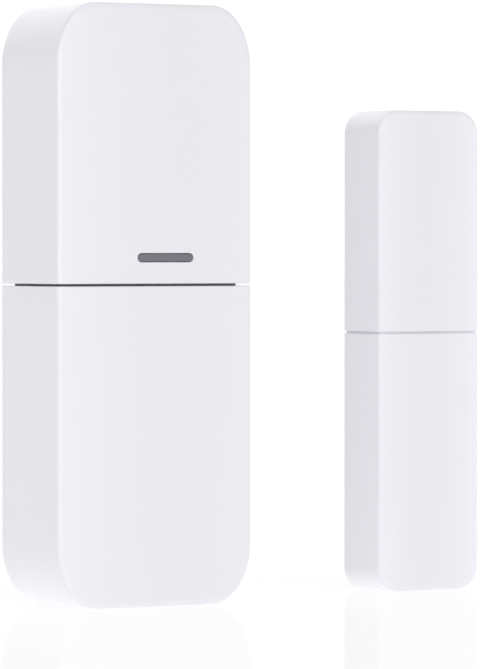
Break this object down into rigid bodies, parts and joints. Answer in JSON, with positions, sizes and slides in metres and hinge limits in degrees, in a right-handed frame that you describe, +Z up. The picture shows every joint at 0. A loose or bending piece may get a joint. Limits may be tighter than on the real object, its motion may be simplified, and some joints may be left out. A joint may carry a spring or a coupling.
{
  "type": "door contact sensor",
  "caption": "Slim wireless door contact sensor: a rounded white transmitter with a status window and a snap-off battery cover, and a narrower magnet unit beside it.",
  "frame": {"origin": "middle of the footprint of the whole set, on the plane that both units stand on", "axes": "+Z up along both units, +Y towards the wall or door leaf that the backs stick to, -Y the front, +X from the transmitter to the magnet unit"},
  "size_m": [0.0632, 0.0148, 0.072],
  "materials": {
    "housing_plastic": "satin, fine moulded texture",
    "chassis_plastic": "satin",
    "seal_rubber": "matt",
    "smoked_window": "smoked, smooth",
    "clear_acrylic": "clear, polished",
    "led_resin": "milky",
    "board_laminate": "solder mask",
    "reed_glass": "clear, faintly green",
    "nickel_iron": "drawn wire",
    "copper_wire": "enamelled wire",
    "black_epoxy": "moulded",
    "tinned_metal": "tinned",
    "crystal_can": "drawn can",
    "capacitor_ceramic": "fired ceramic with tinned ends",
    "resistor_black": "fired ceramic with tinned ends",
    "switch_black": "moulded",
    "button_plastic": "moulded",
    "plunger_black": "moulded",
    "battery_steel": "nickel plated",
    "battery_wrap": "plain shrink wrap, no print",
    "contact_nickel": "nickel plated spring steel",
    "screw_zinc": "zinc plated",
    "tape_foam": "closed-cell foam tape",
    "pad_foam": "open foam",
    "magnet_nickel": "nickel plated magnet"
  },
  "bodies": {
    "transmitter": {"chassis": "chassis_plastic", "dust_seal": "seal_rubber", "upper_housing": "housing_plastic", "led_window": "smoked_window", "light_guide": "clear_acrylic", "status_led": "led_resin", "circuit_board": "board_laminate", "reed_switch_glass": "reed_glass", "reed_switch_blades": "nickel_iron", "antenna_coil": "copper_wire", "microcontroller_body": "black_epoxy", "microcontroller_legs": "tinned_metal", "radio_crystal": "crystal_can", "radio_transistor": "black_epoxy", "chip_capacitors": "capacitor_ceramic", "chip_resistors": "resistor_black", "pairing_button_case": "switch_black", "tamper_switch_case": "switch_black", "battery_can": "battery_steel", "battery_sleeve": "battery_wrap", "positive_contact": "contact_nickel", "negative_contact": "contact_nickel", "negative_spring": "contact_nickel", "housing_screws": "screw_zinc", "board_screw": "screw_zinc", "frame_tape_pad": "tape_foam"},
    "cover": {"battery_cover": "housing_plastic", "battery_foam_pad": "pad_foam"},
    "pairing_plunger": {"pairing_button_plunger": "button_plastic"},
    "tamper_plunger": {"tamper_switch_plunger": "plunger_black"},
    "magnet_unit": {"magnet_base": "chassis_plastic", "bar_magnet": "magnet_nickel", "door_tape_pad": "tape_foam"},
    "magnet_shell": {"magnet_housing": "housing_plastic", "magnet_foam_pad": "pad_foam"}
  },
  "joints": [
    {"name": "battery_cover_pull", "type": "slide", "parent": "transmitter", "child": "cover", "axis": [0, -1, 0], "range_m": [0, 0.022]},
    {"name": "tamper_switch_release", "type": "slide", "parent": "transmitter", "child": "tamper_plunger", "axis": [0, -1, 0], "range_m": [0, 0.0005]},
    {"name": "pairing_button_press", "type": "slide", "parent": "transmitter", "child": "pairing_plunger", "axis": [0, 1, 0], "range_m": [0, 0.00025], "stiffness_N_per_m": 20},
    {"name": "magnet_travel", "type": "slide", "parent": "transmitter", "child": "magnet_unit", "axis": [1, 0, 0], "range_m": [-0.017, 0]},
    {"name": "magnet_housing_pull", "type": "slide", "parent": "magnet_unit", "child": "magnet_shell", "axis": [0, -1, 0], "range_m": [0, 0.01]}
  ],
  "couplings": [
    {"joint": "tamper_switch_release", "follows": "battery_cover_pull", "ratio": 0.0227}
  ]
}
